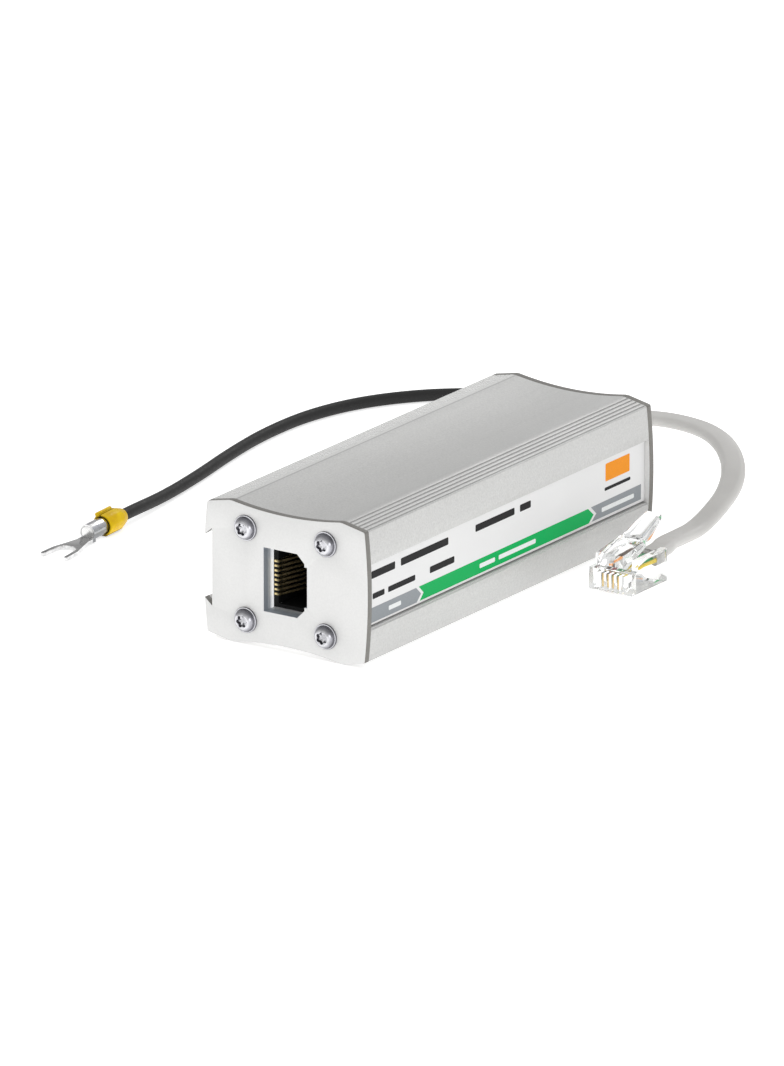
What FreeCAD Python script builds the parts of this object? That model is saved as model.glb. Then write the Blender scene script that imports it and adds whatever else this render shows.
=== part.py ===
import FreeCAD, Part
import math
import os

# Telecom surge protector: an extruded housing with a socket at one end, and at the other
# a flat cable with a clear plug and an earth lead with a fork lug.
# X is across (dovetail slot at -X, label at +X), Y along the length (socket at -Y), Z up.
# The origin is under the middle of the housing, on the surface that it stands on.

# Housing profile
profile_length = 102.0
body_height = 30.0
body_half_width = 20.1
side_bulge = 0.8
ridge_x = 13.5
ridge_flat = 0.8
corner_drop = 1.1
face_sag = 1.1
corner_round = 0.5
groove_count = 5
groove_pitch = 1.05
groove_start = 0.5
groove_width = 0.5
groove_depth = 0.38
slot_mouth = 13.4
slot_inside = 16.6
slot_depth = 2.0
slot_wall = 1.8
recess_height = 13.6
recess_depth = 1.5
lip_groove = 0.4
cavity_wall = 3.0
cavity_round = 2.0

# End plates and their screws
plate_thickness = 1.5
plate_edge = 0.15
screw_x = 9.8
screw_from_edge = 5.2
screw_radius = 1.5
screw_length = 8.0
head_radius = 2.7
head_height = 1.8
head_rim = 0.35
crown_share = 0.72
star_radius = 0.95
star_lobe = 0.34
star_depth = 1.1
thread_clearance = 0.03
screw_hole_clearance = 0.2
channel_wall = 0.87
channel_slit = 1.2

# Label strip
label_thickness = 0.3
label_height = 13.0
label_end_gap = 0.1

# Socket, as an opening on its side: the latch relief points to +X
socket_left = -5.4
socket_drop = 0.35
socket_width = 10.0
socket_height = 13.6
socket_chamfer = 1.8
relief_depth = 0.65
relief_height = 8.6
shield_wall = 0.35
shield_length = 18.0
tunnel_length = 2.2
part_clearance = 0.05

# Jack housing and contacts
passage_height = 11.9
passage_left = 1.1
passage_right = 8.4
passage_depth = 12.0
latch_passage = 6.4
latch_passage_depth = 1.6
contact_count = 8
contact_pitch = 1.0
contact_half = 0.2
contact_drop = 0.45
contact_inset = 0.5
contact_return = 1.2
contact_rise = 2.4
contact_knee_share = 0.65
contact_knee_reach = 5.4
contact_reach = 10.2
contact_groove = 0.6
tail_row_gap = 1.4
tail_back = 1.1

# Circuit board and the parts on it
board_thickness = 1.5
board_gap = 0.05
guide_clearance = 0.05
guide_rib = 1.0
guide_depth = 2.0
board_front_gap = 2.0
board_rear_gap = 11.0
pin_length = 0.8
pin_clearance = 0.1
part_spacing = 5.0
arrester_diameter = 5.0
arrester_length = 8.0
arrester_cap = 1.4
arrester_step = 0.4
arrester_margin = 1.5
diode_size = (4.6, 3.6, 2.3)
resistor_size = (6.4, 3.2, 1.4)
tab_reach = 0.4
tab_width = 2.0
tab_thickness = 0.25
case_draft = 0.3
row_pitch = 4.7
row_margin = 0.2
core_hole_inset = 3.0
earth_hole_inset = 6.0

# Flat cable
flat_width = 5.1
flat_thickness = 2.4
flat_exit_spacing = 7.0
flat_exit_below_screws = 6.3
core_radius = 0.42
core_pitch = 1.25
core_spread = 2.2
core_rise = 1.0
core_straight = 2.2
core_slope = 4.2
bushing_clearance = 0.05
bushing_wall = 0.9
bushing_flange = 1.65
bushing_flange_thickness = 1.1
bushing_collar = 1.2

# Earth lead
earth_radius = 1.2
earth_exit_from_side = 7.1
earth_exit_drop = 2.0
conductor_radius = 0.8
crimped_radius = 1.45
conductor_inset = 0.05
lead_gap = 0.2
lead_straight = 3.0

# Fork lug, laid on the surface with its tips and its sleeve
lug_tip_x = -74.76
lug_tip_y = -28.03
lug_yaw = 1.5
barrel_radius = 1.85
barrel_length = 6.8
barrel_bore_clearance = 0.05
tongue_thickness = 0.8
tongue_length = 12.5
tongue_neck = 1.5
tongue_root = 1.0
neck_length = 1.8
flare_middle = (0.85, 5.3)
flare_end = (1.6, 8.2)
tip_round = 0.2
fork_gap_radius = 2.25
fork_mouth = 2.5
fork_tip = 3.3
fork_depth = 5.9
sleeve_front = 5.6
sleeve_length = 7.2
sleeve_wall = 0.45
sleeve_clearance = 0.1
sleeve_flat = 2.25
sleeve_taper = 2.2
sleeve_grip = 3.0
grip_cone = 1.2
sleeve_lip = 0.45
lip_angle = 120.0
lip_out = 0.27
sleeve_slit = 0.25
slit_turn = 12.0

# Plug
plug_x = 32.7
plug_front_y = 17.2
plug_width = 10.4
plug_length = 13.4
plug_height = 7.0
plug_chamfer = 0.4
nose_height = 4.75
nose_length = 2.5
deck_height = 5.95
deck_ramp_start = 3.0
deck_ramp_end = 7.5
rail_width = 1.5
cable_z = 4.2
jacket_end = 11.9
core_end = 2.0
blade_thickness = 0.3
blade_front = 0.3
blade_back = 3.4
blade_bottom = 0.9
blade_clearance = 0.04
blade_chamfer = 0.3
hinge_v = 1.1
hinge_z = 4.95
hinge_radius = 0.7
hinge_clearance = 0.06
latch_width = 6.2
latch_front = 0.0
latch_foot_gap = 0.1
latch_root = 0.7
latch_root_rise = 0.3
latch_depth = 1.5
latch_front_height = 8.3
latch_shoulder_v = 8.7
latch_shoulder_height = 9.6
latch_tab_width = 4.3
latch_tab_tip_width = 3.6
latch_tab_thickness = 1.1
latch_tab_overlap = 0.6
latch_tab_lift = 0.1
latch_tab_step = 0.7
latch_knee_v = 12.0
latch_knee_height = 8.6
latch_tip_v = 16.4
latch_tip_height = 13.0

Vec = FreeCAD.Vector
centre_z = body_height / 2
half_length = profile_length / 2
corner_x = body_half_width - side_bulge
cavity_half_width = body_half_width - slot_depth - slot_wall
cavity_low = cavity_wall
cavity_high = body_height - cavity_wall
screw_z = centre_z - screw_from_edge
socket_z = centre_z - socket_drop
socket_low = socket_z - socket_height / 2
socket_high = socket_z + socket_height / 2
socket_right = socket_left + socket_width + relief_depth
shield_left = socket_left - shield_wall
jack_front = tunnel_length - half_length
jack_back = shield_length - half_length - shield_wall
board_right = shield_left - board_gap
board_left = board_right - board_thickness
pin_end = board_left - pin_length
board_front = board_front_gap - half_length
board_back = half_length - board_rear_gap
tail_front_y = jack_back - tail_back - tail_row_gap
tail_rear_y = jack_back - tail_back
core_hole_y = board_back - core_hole_inset
earth_hole_y = board_back - earth_hole_inset
arrester_y = jack_back + shield_wall + part_spacing + arrester_length / 2
diode_y = arrester_y + arrester_length / 2 + part_spacing + diode_size[0] / 2
resistor_y = diode_y + diode_size[0] / 2 + part_spacing + resistor_size[0] / 2
board_face = cavity_high - cavity_low - 2 * guide_depth
arrester_spacing = board_face - 2 * arrester_margin - arrester_diameter
row_count = 1 + int((board_face - 2 * row_margin - diode_size[1]) // row_pitch)
earth_exit_x = earth_exit_from_side - body_half_width
earth_exit_z = centre_z - earth_exit_drop
flat_exit_x = earth_exit_x + flat_exit_spacing
flat_exit_z = centre_z + screw_z - flat_exit_below_screws
plug_cable_y = plug_front_y + jacket_end

# The cords' routes, from inside the cable end plate outward
flat_route = [
    (flat_exit_x, half_length - 3.5, flat_exit_z),
    (flat_exit_x, half_length + 9.0, flat_exit_z),
    (-6.6, 75.2, 15.6),
    (2.7, 84.6, 14.8),
    (16.6, 84.6, 13.2),
    (26.4, 75.0, 8.0),
    (26.0, 62.0, 1.3),
    (26.4, 51.5, 1.4),
    (29.2, 43.4, 3.1),
    (plug_x, 36.2, cable_z),
    (plug_x, plug_cable_y, cable_z),
]
earth_free_route = [
    (-77.6, 15.5, 1.35),
    (-80.0, 32.0, 1.25),
    (-83.2, 48.5, 1.25),
    (-85.2, 64.0, 1.25),
    (-84.9, 80.5, 1.25),
    (-80.0, 96.0, 1.25),
    (-69.0, 109.5, 1.25),
    (-54.0, 117.0, 1.25),
    (-37.0, 117.5, 1.3),
    (-22.5, 108.5, 1.6),
    (-15.0, 94.0, 3.6),
    (-13.2, 78.0, 9.0),
    (earth_exit_x, half_length + 12.5, earth_exit_z),
    (earth_exit_x, half_length - 0.5, earth_exit_z),
]


def box(x0, x1, y0, y1, z0, z1):
    return Part.makeBox(x1 - x0, y1 - y0, z1 - z0, Vec(x0, y0, z0))


def rod(radius, start, end):
    # cylinder from one point to another
    axis = end - start
    return Part.makeCylinder(radius, axis.Length, start, axis)


def prism(points, start_y, length):
    # polygon in the X-Z plane, pulled along Y
    corners = [Vec(x, start_y, z) for x, z in points]
    face = Part.Face(Part.makePolygon(corners + corners[:1]))
    return face.extrude(Vec(0, length, 0))


def side_prism(points, x0, width):
    # polygon in the Y-Z plane, pulled along X
    corners = [Vec(x0, y, z) for y, z in points]
    face = Part.Face(Part.makePolygon(corners + corners[:1]))
    return face.extrude(Vec(width, 0, 0))


def route_path(points):
    # straight runs joined by tangent arcs, each as large as its two runs allow
    nodes = [Vec(*p) for p in points]
    edges = []
    radii = []
    here = nodes[0]
    for before, corner, after in zip(nodes, nodes[1:], nodes[2:]):
        back = before - corner
        ahead = after - corner
        shorter = min(back.Length, ahead.Length)
        half_turn = (math.pi - back.getAngle(ahead)) / 2
        radius = 0.45 * shorter / math.tan(half_turn)
        reach = 0.45 * shorter
        back.normalize()
        ahead.normalize()
        inward = back + ahead
        inward.normalize()
        start = corner + back * reach
        end = corner + ahead * reach
        middle = corner + inward * (radius / math.cos(half_turn) - radius)
        edges.append(Part.LineSegment(here, start).toShape())
        edges.append(Part.Arc(start, middle, end).toShape())
        radii.append(radius)
        here = end
    edges.append(Part.LineSegment(here, nodes[-1]).toShape())
    return Part.Wire(edges), radii


def round_cord(points, radius):
    path, radii = route_path(points)
    start = Vec(*points[0])
    along = Vec(*points[1]) - start
    ring = Part.Wire(Part.makeCircle(radius, start, along))
    return path.makePipeShell([ring], True, True), path, radii


def bent_wire(points, radius):
    # round wire with sharp corners
    places = [Vec(*point) for point in points]
    path = Part.makePolygon(places)
    ring = Part.Wire(Part.makeCircle(radius, places[0], places[1] - places[0]))
    return path.makePipeShell([ring], True, True, 1)


def square_wire(points, half):
    # square wire with sharp corners, bent in the X-Y plane
    places = [Vec(*point) for point in points]
    path = Part.makePolygon(places)
    along = places[1] - places[0]
    side = Vec(-along.y, along.x, 0).normalize() * half
    rise = Vec(0, 0, half)
    start = places[0]
    corners = [start + side + rise, start - side + rise, start - side - rise, start + side - rise]
    section = Part.makePolygon(corners + corners[:1])
    return path.makePipeShell([section], True, True, 1)


def obround(width, height, x, z, y):
    # flat-sided round outline in the X-Z plane, wider than high
    flat = (width - height) / 2
    radius = height / 2
    top_left = Vec(x - flat, y, z + radius)
    top_right = Vec(x + flat, y, z + radius)
    low_left = Vec(x - flat, y, z - radius)
    low_right = Vec(x + flat, y, z - radius)
    edges = [
        Part.LineSegment(top_left, top_right).toShape(),
        Part.Arc(top_right, Vec(x + width / 2, y, z), low_right).toShape(),
        Part.LineSegment(low_right, low_left).toShape(),
        Part.Arc(low_left, Vec(x - width / 2, y, z), top_left).toShape(),
    ]
    return Part.Wire(edges)


def obround_block(width, height, x, z, y0, y1):
    return Part.Face(obround(width, height, x, z, y0)).extrude(Vec(0, y1 - y0, 0))


def lengthwise_edges(solid, places, reach=0.01):
    # edges that run along Y through the given (x, z) places
    picked = []
    for edge in solid.Edges:
        middle = edge.CenterOfMass
        for x, z in places:
            if abs(middle.x - x) < reach and abs(middle.z - z) < reach:
                picked.append(edge)
    return picked


def side_x(z):
    # half width of the bulged side at a height
    rise = centre_z - corner_drop
    radius = (rise ** 2 + side_bulge ** 2) / (2 * side_bulge)
    return body_half_width - radius + math.sqrt(radius ** 2 - (z - centre_z) ** 2)


def outline_block(start_y, length):
    # the housing's outline with its dovetail slot, pulled along Y
    flat = ridge_flat / 2
    low = centre_z - slot_mouth / 2
    high = centre_z + slot_mouth / 2
    floor_x = slot_depth - body_half_width
    low_mid = (corner_drop + low) / 2
    high_mid = body_height - low_mid

    def line(a, b):
        return Part.LineSegment(Vec(a[0], start_y, a[1]), Vec(b[0], start_y, b[1])).toShape()

    def bow(a, b, c):
        points = [Vec(p[0], start_y, p[1]) for p in (a, b, c)]
        return Part.Arc(*points).toShape()

    top_left = (flat - ridge_x, body_height)
    top_right = (ridge_x - flat, body_height)
    ridge_right = (ridge_x + flat, body_height)
    corner_right = (corner_x, body_height - corner_drop)
    foot_right = (corner_x, corner_drop)
    low_ridge_right = (ridge_x + flat, 0)
    low_right = (ridge_x - flat, 0)
    low_left = (flat - ridge_x, 0)
    low_ridge_left = (-ridge_x - flat, 0)
    foot_left = (-corner_x, corner_drop)
    mouth_low = (-side_x(low), low)
    inner_low = (floor_x, centre_z - slot_inside / 2)
    inner_high = (floor_x, centre_z + slot_inside / 2)
    mouth_high = (-side_x(high), high)
    corner_left = (-corner_x, body_height - corner_drop)
    ridge_left = (-ridge_x - flat, body_height)
    edges = [
        bow(top_left, (0, body_height - face_sag), top_right),
        line(top_right, ridge_right),
        line(ridge_right, corner_right),
        bow(corner_right, (body_half_width, centre_z), foot_right),
        line(foot_right, low_ridge_right),
        line(low_ridge_right, low_right),
        bow(low_right, (0, face_sag), low_left),
        line(low_left, low_ridge_left),
        line(low_ridge_left, foot_left),
        bow(foot_left, (-side_x(low_mid), low_mid), mouth_low),
        line(mouth_low, inner_low),
        line(inner_low, inner_high),
        line(inner_high, mouth_high),
        bow(mouth_high, (-side_x(high_mid), high_mid), corner_left),
        line(corner_left, ridge_left),
        line(ridge_left, top_left),
    ]
    block = Part.Face(Part.Wire(edges)).extrude(Vec(0, length, 0))
    places = [corner_right, foot_right, foot_left, corner_left]
    return block.makeFillet(corner_round, lengthwise_edges(block, places))


def land_groove_cutters():
    # fine V grooves along the four lands beside the ridges
    start = ridge_x + ridge_flat / 2
    slope = corner_drop / (corner_x - start)
    cutters = []
    for number in range(groove_count):
        x = start + groove_start + groove_width / 2 + number * groove_pitch
        left = x - groove_width / 2
        right = x + groove_width / 2
        above = [(left, body_height - slope * (left - start) + 0.1),
                 (right, body_height - slope * (right - start) + 0.1),
                 (x, body_height - slope * (x - start) - groove_depth)]
        below = [(px, body_height - pz) for px, pz in above]
        for points in (above, below):
            cutters.append(prism(points, -half_length, profile_length))
            cutters.append(prism([(-px, pz) for px, pz in points], -half_length, profile_length))
    return cutters


def screw_places():
    return [(sx * screw_x, centre_z + sz * screw_z) for sx in (-1, 1) for sz in (-1, 1)]


def cavity_block():
    # the hollow inside the profile, with screw channels and board guides left standing
    hollow = box(-cavity_half_width, cavity_half_width, -half_length, half_length,
                 cavity_low, cavity_high)
    places = [(x, z) for x in (-cavity_half_width, cavity_half_width)
              for z in (cavity_low, cavity_high)]
    hollow = hollow.makeFillet(cavity_round, lengthwise_edges(hollow, places))
    channel_radius = screw_radius + thread_clearance + channel_wall
    standing = []
    for x, z in screw_places():
        standing.append(rod(channel_radius, Vec(x, -half_length, z), Vec(x, half_length, z)))
    slot_left = board_left - guide_clearance
    slot_right = board_right + guide_clearance
    for x in (slot_left - guide_rib, slot_right):
        for z0, z1 in ((cavity_low - 1, cavity_low + guide_depth),
                       (cavity_high - guide_depth, cavity_high + 1)):
            standing.append(box(x, x + guide_rib, -half_length, half_length, z0, z1))
    return hollow.cut(standing)


def screw_channel_cutters():
    # tapped bore of each channel, open to the hollow through a slit
    bore = screw_radius + thread_clearance
    cutters = []
    for x, z in screw_places():
        cutters.append(rod(bore, Vec(x, -half_length, z), Vec(x, half_length, z)))
        inward = z + math.copysign(bore + 2 * channel_wall, centre_z - z)
        cutters.append(box(x - channel_slit / 2, x + channel_slit / 2, -half_length, half_length,
                           min(z, inward), max(z, inward)))
    return cutters


def label_recess_cutter():
    floor_x = body_half_width - recess_depth
    low = centre_z - recess_height / 2
    return box(floor_x, body_half_width + 1, -half_length, half_length, low, low + recess_height)


def lip_groove_cutter():
    # dark line under the recess, along its lower lip
    low = centre_z - recess_height / 2
    x = side_x(low)
    points = [(x + 0.1, low), (x + 0.1, low - lip_groove), (x - lip_groove, low - lip_groove / 2),
              (x - lip_groove, low)]
    return prism(points, -half_length, profile_length)


def housing_profile():
    body = outline_block(-half_length, profile_length)
    body = body.cut(cavity_block())
    cutters = land_groove_cutters() + screw_channel_cutters()
    cutters.append(label_recess_cutter())
    cutters.append(lip_groove_cutter())
    return body.cut(cutters)


def end_plate(start_y):
    plate = outline_block(start_y, plate_thickness)
    hole = screw_radius + screw_hole_clearance
    holes = [rod(hole, Vec(x, start_y, z), Vec(x, start_y + plate_thickness, z))
             for x, z in screw_places()]
    return plate.cut(holes)


def socket_outline():
    right = socket_left + socket_width
    relief_low = socket_z - relief_height / 2
    relief_high = socket_z + relief_height / 2
    return [
        (socket_left, socket_low), (right - socket_chamfer, socket_low),
        (right, socket_low + socket_chamfer), (right, relief_low),
        (socket_right, relief_low), (socket_right, relief_high),
        (right, relief_high), (right, socket_high - socket_chamfer),
        (right - socket_chamfer, socket_high), (socket_left, socket_high),
    ]


def line_end_plate():
    start_y = -half_length - plate_thickness
    plate = end_plate(start_y)
    return plate.cut(prism(socket_outline(), start_y, plate_thickness))


def bushing_neck_sizes():
    width = flat_width + 2 * (bushing_clearance + bushing_wall)
    height = flat_thickness + 2 * (bushing_clearance + bushing_wall)
    earth_neck = earth_radius + bushing_clearance + bushing_wall
    return width, height, earth_neck


def cable_end_plate():
    plate = end_plate(half_length)
    width, height, earth_neck = bushing_neck_sizes()
    gap = 2 * bushing_clearance
    flat_hole = obround_block(width + gap, height + gap, flat_exit_x, flat_exit_z,
                              half_length, half_length + plate_thickness)
    earth_hole = rod(earth_neck + bushing_clearance, Vec(earth_exit_x, half_length, earth_exit_z),
                     Vec(earth_exit_x, half_length + plate_thickness, earth_exit_z))
    return plate.cut([flat_hole, earth_hole])


def plate_screw():
    # pan head screw along Z, with its head's underside at zero and its shank below
    rim = Vec(head_radius, 0, head_rim)
    crown = Vec(0, 0, head_height)
    shoulder = Vec(head_radius * crown_share, 0, head_height * crown_share)
    edges = [
        Part.LineSegment(Vec(0, 0, 0), Vec(head_radius, 0, 0)).toShape(),
        Part.LineSegment(Vec(head_radius, 0, 0), rim).toShape(),
        Part.Arc(rim, shoulder, crown).toShape(),
        Part.LineSegment(crown, Vec(0, 0, 0)).toShape(),
    ]
    head = Part.Face(Part.Wire(edges)).revolve(Vec(0, 0, 0), Vec(0, 0, 1), 360)
    shank = Part.makeCylinder(screw_radius, screw_length, Vec(0, 0, -screw_length))
    corners = []
    for number in range(12):
        reach = star_radius if number % 2 else star_radius + star_lobe
        angle = math.radians(30 * number)
        corners.append(Vec(reach * math.cos(angle), reach * math.sin(angle),
                           head_height - star_depth))
    star = Part.Face(Part.makePolygon(corners + corners[:1])).extrude(Vec(0, 0, head_height))
    return head.fuse(shank).cut(star)


def plate_screws(face_y, outward):
    # four screws, heads pointing outward from the plate's face
    turn = FreeCAD.Rotation(Vec(0, 0, 1), Vec(0, outward, 0))
    screws = []
    for x, z in screw_places():
        screw = plate_screw()
        screw.Placement = FreeCAD.Placement(Vec(x, face_y, z), turn)
        screws.append(screw)
    return Part.makeCompound(screws)


def label_strip():
    x = body_half_width - recess_depth
    low = centre_z - label_height / 2
    return box(x, x + label_thickness, -half_length, half_length - label_end_gap,
               low, low + label_height)


def jack_shield():
    # folded can around the jack: open to the socket, and open to the board behind its front flange
    outer = box(shield_left, socket_right + shield_wall, -half_length, jack_back + shield_wall,
                socket_low - shield_wall, socket_high + shield_wall)
    inner = box(socket_left, socket_right, -half_length, jack_back, socket_low, socket_high)
    board_side = box(shield_left, socket_left, jack_front, jack_back + shield_wall,
                     socket_low - shield_wall, socket_high + shield_wall)
    return outer.cut([inner, board_side])


def contact_heights():
    middle = socket_z - contact_drop
    first = middle - (contact_count - 1) / 2 * contact_pitch
    return [first + number * contact_pitch for number in range(contact_count)]


def contact_tail_y(number):
    return tail_rear_y if number % 2 else tail_front_y


def jack_housing():
    # black insulator with the plug's passage, the latch's passage and a groove for each contact
    body = box(shield_left, socket_right - part_clearance, jack_front + part_clearance,
               jack_back - part_clearance, socket_low + part_clearance,
               socket_high - part_clearance)
    front = jack_front
    back = jack_front + passage_depth
    inner_left = socket_left + passage_left
    inner_right = socket_left + passage_right
    cutters = [
        box(inner_left, inner_right, front, back,
            socket_z - passage_height / 2, socket_z + passage_height / 2),
        box(inner_right, inner_right + latch_passage_depth, front, back,
            socket_z - latch_passage / 2, socket_z + latch_passage / 2),
    ]
    half = contact_groove / 2
    groove_left = socket_left + contact_inset - half
    for number, z in enumerate(contact_heights()):
        tail_y = contact_tail_y(number)
        cutters.append(box(groove_left, inner_left + 0.05, front, tail_y + half,
                           z - half, z + half))
        cutters.append(box(shield_left, groove_left + half, tail_y - half, tail_y + half,
                           z - half, z + half))
    return body.cut(cutters)


def jack_contacts():
    # each wire comes from the board, runs forward in its groove and springs back into the passage
    run_x = socket_left + contact_inset
    spring_x = socket_left + contact_return
    front = jack_front - part_clearance
    wires = []
    for number, z in enumerate(contact_heights()):
        tail_y = contact_tail_y(number)
        wires.append(square_wire([
            (pin_end, tail_y, z),
            (run_x, tail_y, z),
            (run_x, front, z),
            (spring_x, front, z),
            (spring_x + contact_knee_share * contact_rise, front + contact_knee_reach, z),
            (spring_x + contact_rise, front + contact_reach, z),
        ], contact_half))
    return Part.makeCompound(wires)


def row_heights(count, pitch):
    return [centre_z + (number - (count - 1) / 2) * pitch for number in range(count)]


def gas_arresters():
    # ceramic tubes between square metal caps, with a middle electrode, flat on the board
    half = arrester_diameter / 2
    body_radius = half - arrester_step
    x = board_right + half
    tubes = []
    for z in row_heights(2, arrester_spacing):
        start = arrester_y - arrester_length / 2
        end = arrester_y + arrester_length / 2
        tube = rod(body_radius, Vec(x, start, z), Vec(x, end, z))
        caps = []
        for y in (start, arrester_y - arrester_cap / 2, end - arrester_cap):
            caps.append(box(board_right, x + half, y, y + arrester_cap, z - half, z + half))
        tubes.append(tube.fuse(caps))
    return Part.makeCompound(tubes)


def surface_part(size, middle_y, z):
    # moulded case with drafted sides, on two flat tabs that lie on the board
    length, width, height = size
    x = board_right
    start = middle_y - length / 2
    end = middle_y + length / 2
    seam = x + height / 2
    corners = [Vec(px, py, z - width / 2) for px, py in (
        (x, start + case_draft), (seam, start), (x + height, start + case_draft),
        (x + height, end - case_draft), (seam, end), (x, end - case_draft))]
    case = Part.Face(Part.makePolygon(corners + corners[:1])).extrude(Vec(0, 0, width))
    tabs = box(x, x + tab_thickness, start - tab_reach, end + tab_reach,
               z - tab_width / 2, z + tab_width / 2)
    return case.fuse(tabs)


def surface_row(size, middle_y):
    return Part.makeCompound([surface_part(size, middle_y, z)
                              for z in row_heights(row_count, row_pitch)])


def core_board_heights():
    return [flat_exit_z + (number - 1.5) * core_spread - core_rise for number in range(4)]


def circuit_board():
    low = cavity_low + guide_clearance
    high = cavity_high - guide_clearance
    board = box(board_left, board_right, board_front, board_back, low, high)
    drills = []
    for number, z in enumerate(contact_heights()):
        drills.append((math.sqrt(2) * contact_half, contact_tail_y(number), z))
    for z in core_board_heights():
        drills.append((core_radius, core_hole_y, z))
    drills.append((conductor_radius, earth_hole_y, earth_exit_z))
    holes = [rod(radius + pin_clearance, Vec(board_left, y, z), Vec(board_right, y, z))
             for radius, y, z in drills]
    return board.cut(holes)


def flat_cable_bushing():
    width, height, _ = bushing_neck_sizes()
    outer = half_length + plate_thickness
    flange = 2 * (bushing_flange - bushing_wall)
    neck = obround_block(width, height, flat_exit_x, flat_exit_z, half_length, outer)
    outside = obround_block(width + flange, height + flange, flat_exit_x, flat_exit_z,
                            outer, outer + bushing_flange_thickness)
    inside = obround_block(width + flange, height + flange, flat_exit_x, flat_exit_z,
                           half_length - bushing_collar, half_length)
    gap = 2 * bushing_clearance
    bore = obround_block(flat_width + gap, flat_thickness + gap, flat_exit_x, flat_exit_z,
                         half_length - bushing_collar, outer + bushing_flange_thickness)
    return neck.fuse([outside, inside]).cut(bore).removeSplitter()


def earth_lead_bushing():
    _, _, neck_radius = bushing_neck_sizes()
    outer = half_length + plate_thickness
    flange_radius = neck_radius + bushing_flange - bushing_wall

    def ring(radius, y0, y1):
        return rod(radius, Vec(earth_exit_x, y0, earth_exit_z), Vec(earth_exit_x, y1, earth_exit_z))

    body = ring(neck_radius, half_length, outer)
    body = body.fuse([ring(flange_radius, outer, outer + bushing_flange_thickness),
                      ring(flange_radius, half_length - bushing_collar, half_length)])
    bore = ring(earth_radius + bushing_clearance, half_length - bushing_collar,
                outer + bushing_flange_thickness)
    return body.cut(bore).removeSplitter()


def flat_cable():
    # the jacket stays broad side up all along its route
    path, radii = route_path(flat_route)
    start = flat_route[0]
    section = obround(flat_width, flat_thickness, start[0], start[2], start[1])
    above, _ = route_path([(x, y, z + flat_width) for x, y, z in flat_route])
    sweep = Part.BRepOffsetAPI.MakePipeShell(path)
    sweep.setAuxiliarySpine(above, True, 0)
    sweep.add(section)
    sweep.build()
    sweep.makeSolid()
    area = Part.Face(section).Area
    report_cord("flat cable", sweep.shape(), area, path, radii)
    return sweep.shape()


def report_cord(name, tube, area, path, radii):
    print(name, "length %.1f" % path.Length, "volume over section times length %.3f"
          % (tube.Volume / (area * path.Length)), "radii", [round(r, 1) for r in radii])


def core_offsets():
    return [(number - 1.5) * core_pitch for number in range(4)]


def core(number):
    # one core's two bared ends: in the plug, and inside the housing on its way to the board
    offset = core_offsets()[number]
    plug_end = rod(core_radius,
                   Vec(plug_x + offset, plug_front_y + core_end, cable_z),
                   Vec(plug_x + offset, plug_cable_y, cable_z))
    x, y, z = flat_route[0]
    turn_x = board_right + 3 * core_radius
    board_z = core_board_heights()[number]
    points = [(x + offset, y, z), (x + offset, y - core_straight, z),
              (turn_x, core_hole_y + core_slope, board_z), (turn_x, core_hole_y, board_z),
              (pin_end, core_hole_y, board_z)]
    return Part.makeCompound([plug_end, bent_wire(points, core_radius)])


def lug_height(along):
    # height of the lug's axis: its tips and the sleeve's front edge rest on the surface
    slope = (sleeve_flat - barrel_radius) / (sleeve_front + tongue_length)
    return barrel_radius + (along + tongue_length) * slope


def lug_placement():
    # local Y runs from the fork towards the lead, with zero at the barrel's front end
    pitch = math.degrees(math.atan2(lug_height(1) - lug_height(0), 1))
    turn = FreeCAD.Rotation(Vec(0, 0, 1), lug_yaw).multiply(FreeCAD.Rotation(Vec(1, 0, 0), pitch))
    tip = Vec(lug_tip_x, lug_tip_y, barrel_radius)
    origin = tip - turn.multVec(Vec(0, -tongue_length, 0))
    return FreeCAD.Placement(origin, turn)


def lug_point(along):
    point = lug_placement().multVec(Vec(0, along, 0))
    return (point.x, point.y, point.z)


def earth_lead():
    # from inside the sleeve along the surface, round behind the housing and in at the plate
    points = [lug_point(barrel_length + lead_gap),
              lug_point(sleeve_front + sleeve_length + lead_straight)]
    points += earth_free_route
    tube, path, radii = round_cord(points, earth_radius)
    report_cord("earth lead", tube, math.pi * earth_radius ** 2, path, radii)
    return tube


def earth_conductor():
    # the crimped end in the lug's barrel, and the end that goes to the board
    crimped = rod(crimped_radius, Vec(0, conductor_inset, 0), Vec(0, barrel_length, 0))
    crimped = crimped.fuse(rod(conductor_radius, Vec(0, barrel_length, 0),
                               Vec(0, barrel_length + lead_gap, 0)))
    crimped.Placement = lug_placement()
    x, y, z = earth_free_route[-1]
    points = [(x, y, z), (x, earth_hole_y, z), (board_right + pin_length, earth_hole_y, z)]
    return Part.makeCompound([crimped, bent_wire(points, conductor_radius)])


def tongue_face():
    # flat fork, from under the barrel out to its two flared tips
    low = -barrel_radius
    throat = -fork_depth - fork_gap_radius
    tip = -tongue_length

    def at(x, y):
        return Vec(x, y, low)

    def side(sign):
        root = at(sign * tongue_neck, tongue_root)
        neck = at(sign * tongue_neck, -neck_length)
        middle = at(sign * (tongue_neck + flare_middle[0]), -flare_middle[1])
        flare = at(sign * (tongue_neck + flare_end[0]), -flare_end[1])
        outer_tip = at(sign * fork_tip, tip)
        inner_tip = at(sign * fork_mouth, tip)
        return [
            Part.LineSegment(root, neck).toShape(),
            Part.Arc(neck, middle, flare).toShape(),
            Part.LineSegment(flare, outer_tip).toShape(),
            Part.LineSegment(outer_tip, inner_tip).toShape(),
            Part.LineSegment(inner_tip, at(sign * fork_gap_radius, throat)).toShape(),
        ]

    bottom = Part.Arc(at(-fork_gap_radius, throat), at(0, -fork_depth),
                      at(fork_gap_radius, throat)).toShape()
    top = Part.LineSegment(at(-tongue_neck, tongue_root), at(tongue_neck, tongue_root)).toShape()
    edges = side(1) + side(-1) + [bottom, top]
    return Part.Face(Part.Wire(Part.__sortEdges__(edges)))


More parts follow.
